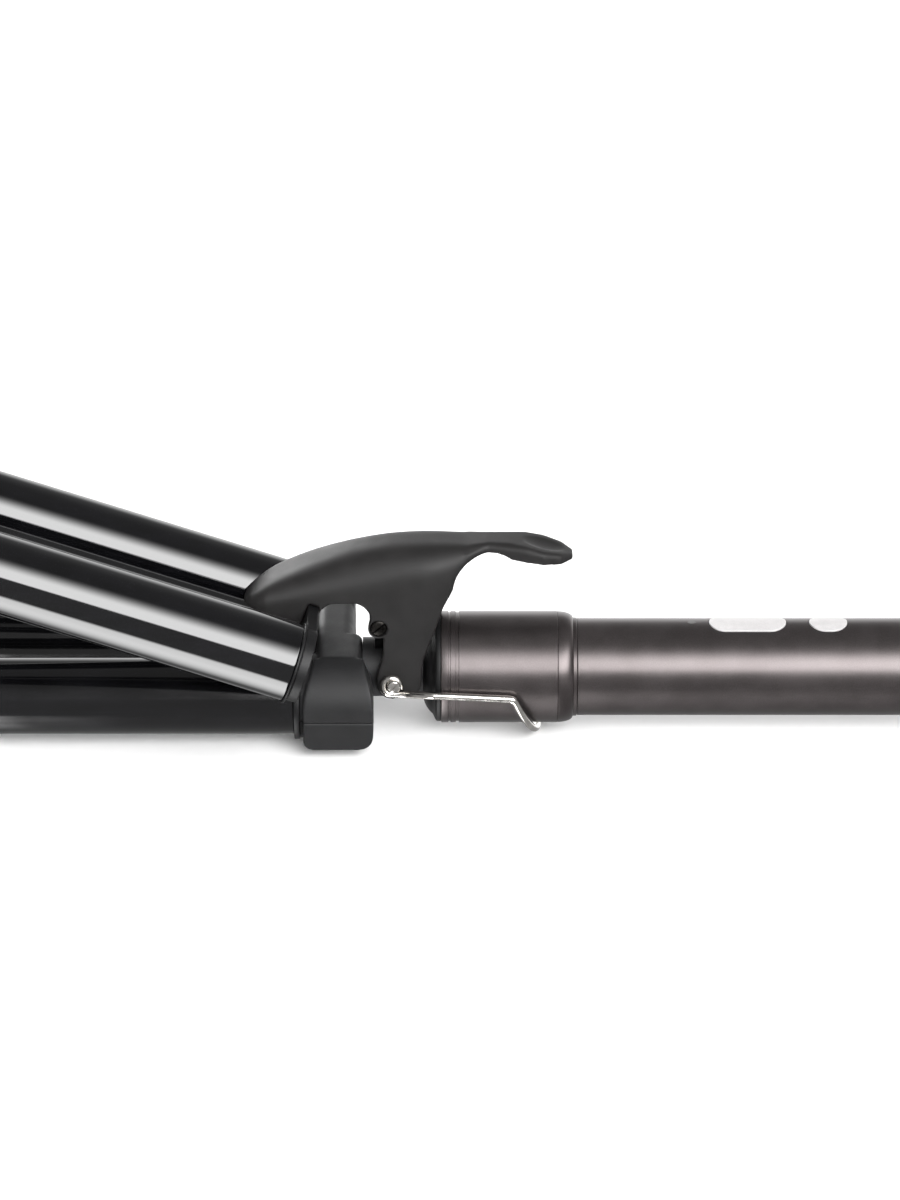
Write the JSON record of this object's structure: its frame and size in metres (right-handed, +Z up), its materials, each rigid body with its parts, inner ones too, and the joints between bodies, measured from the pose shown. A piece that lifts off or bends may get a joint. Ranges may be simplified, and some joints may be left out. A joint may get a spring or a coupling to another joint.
{
  "type": "curling iron",
  "caption": "Hair waver: a round handle, fixed heated barrels, a hinged jaw of barrels opened by a thumb lever, two buttons and a folding wire stand.",
  "frame": {"origin": "centre of the mouth of the cord inlet, on the handle's axis", "axes": "+X along the handle's axis, out of the cord inlet; +Z up, the side the buttons and the lever are on; the barrels point along -X"},
  "size_m": [0.3667, 0.0876, 0.0877],
  "materials": {
    "gunmetal_sleeve": "satin metallic lacquer over drawn aluminium",
    "gunmetal_ring": "satin metallic lacquer",
    "barrel_coat": "black mirror-gloss ceramic coat over aluminium tube",
    "lever_plastic": "satin moulded plastic",
    "heatproof_plastic": "satin glass-filled plastic",
    "gloss_black_plastic": "semi-gloss moulded plastic",
    "button_plastic": "smooth white moulding",
    "lens": "clear light pipe",
    "bright_steel": "bright nickel-plated steel",
    "spring_steel": "plain steel",
    "heater_aluminium": "extruded",
    "board": "solder mask",
    "switch_body": "moulded",
    "carrier_plastic": "moulded",
    "wire_insulation": "silicone insulation"
  },
  "bodies": {
    "handle": {"grip_shell": "gunmetal_sleeve", "joint_ring": "gunmetal_ring", "ferrule": "gunmetal_sleeve", "neck_collar": "gloss_black_plastic", "hinge_neck": "heatproof_plastic", "pivot_sleeve": "spring_steel", "pivot_screws": "bright_steel", "bracket_upper": "heatproof_plastic", "bracket_lower": "heatproof_plastic", "bracket_screws": "bright_steel", "lower_collar_near": "gloss_black_plastic", "lower_collar_far": "gloss_black_plastic", "lower_barrel_near": "barrel_coat", "lower_barrel_far": "barrel_coat", "lower_heater_near": "heater_aluminium", "lower_heater_far": "heater_aluminium", "lower_tip_near": "gloss_black_plastic", "lower_tip_far": "gloss_black_plastic", "circuit_board": "board", "board_carrier": "carrier_plastic", "push_switches": "switch_body", "indicator_lens": "lens", "lead_wires": "wire_insulation", "rear_cap": "gloss_black_plastic", "gland_washer": "spring_steel", "hinge_spring": "spring_steel"},
    "jaw": {"lever_shell": "lever_plastic", "lever_screws": "bright_steel", "jaw_frame": "heatproof_plastic", "upper_collar_near": "gloss_black_plastic", "upper_collar_far": "gloss_black_plastic", "upper_barrel_near": "barrel_coat", "upper_barrel_far": "barrel_coat", "upper_heater_near": "heater_aluminium", "upper_heater_far": "heater_aluminium", "upper_tip_near": "gloss_black_plastic", "upper_tip_far": "gloss_black_plastic"},
    "stand": {"stand_wire": "bright_steel"},
    "power_key": {"power_button": "button_plastic"},
    "temperature_key": {"temperature_button": "button_plastic"},
    "cord_swivel": {"swivel_gland": "gloss_black_plastic"}
  },
  "joints": [
    {"name": "jaw_hinge", "type": "hinge", "parent": "handle", "child": "jaw", "pos_m": [-0.2007, 0, 0], "axis": [0, 1, 0], "range_deg": [-18.6, 0], "stiffness_Nm_per_rad": 2, "springref_deg": 4.58},
    {"name": "stand_fold", "type": "hinge", "parent": "handle", "child": "stand", "pos_m": [-0.2007, 0, 0], "axis": [0, 1, 0], "range_deg": [0, 95]},
    {"name": "power_press", "type": "slide", "parent": "handle", "child": "power_key", "axis": [0, 0, -1], "range_m": [0, 0.0008], "stiffness_N_per_m": 1500},
    {"name": "temperature_press", "type": "slide", "parent": "handle", "child": "temperature_key", "axis": [0, 0, -1], "range_m": [0, 0.0008], "stiffness_N_per_m": 1500},
    {"name": "cord_spin", "type": "hinge", "parent": "handle", "child": "cord_swivel", "pos_m": [0, 0, 0], "axis": [1, 0, 0], "continuous": true}
  ]
}
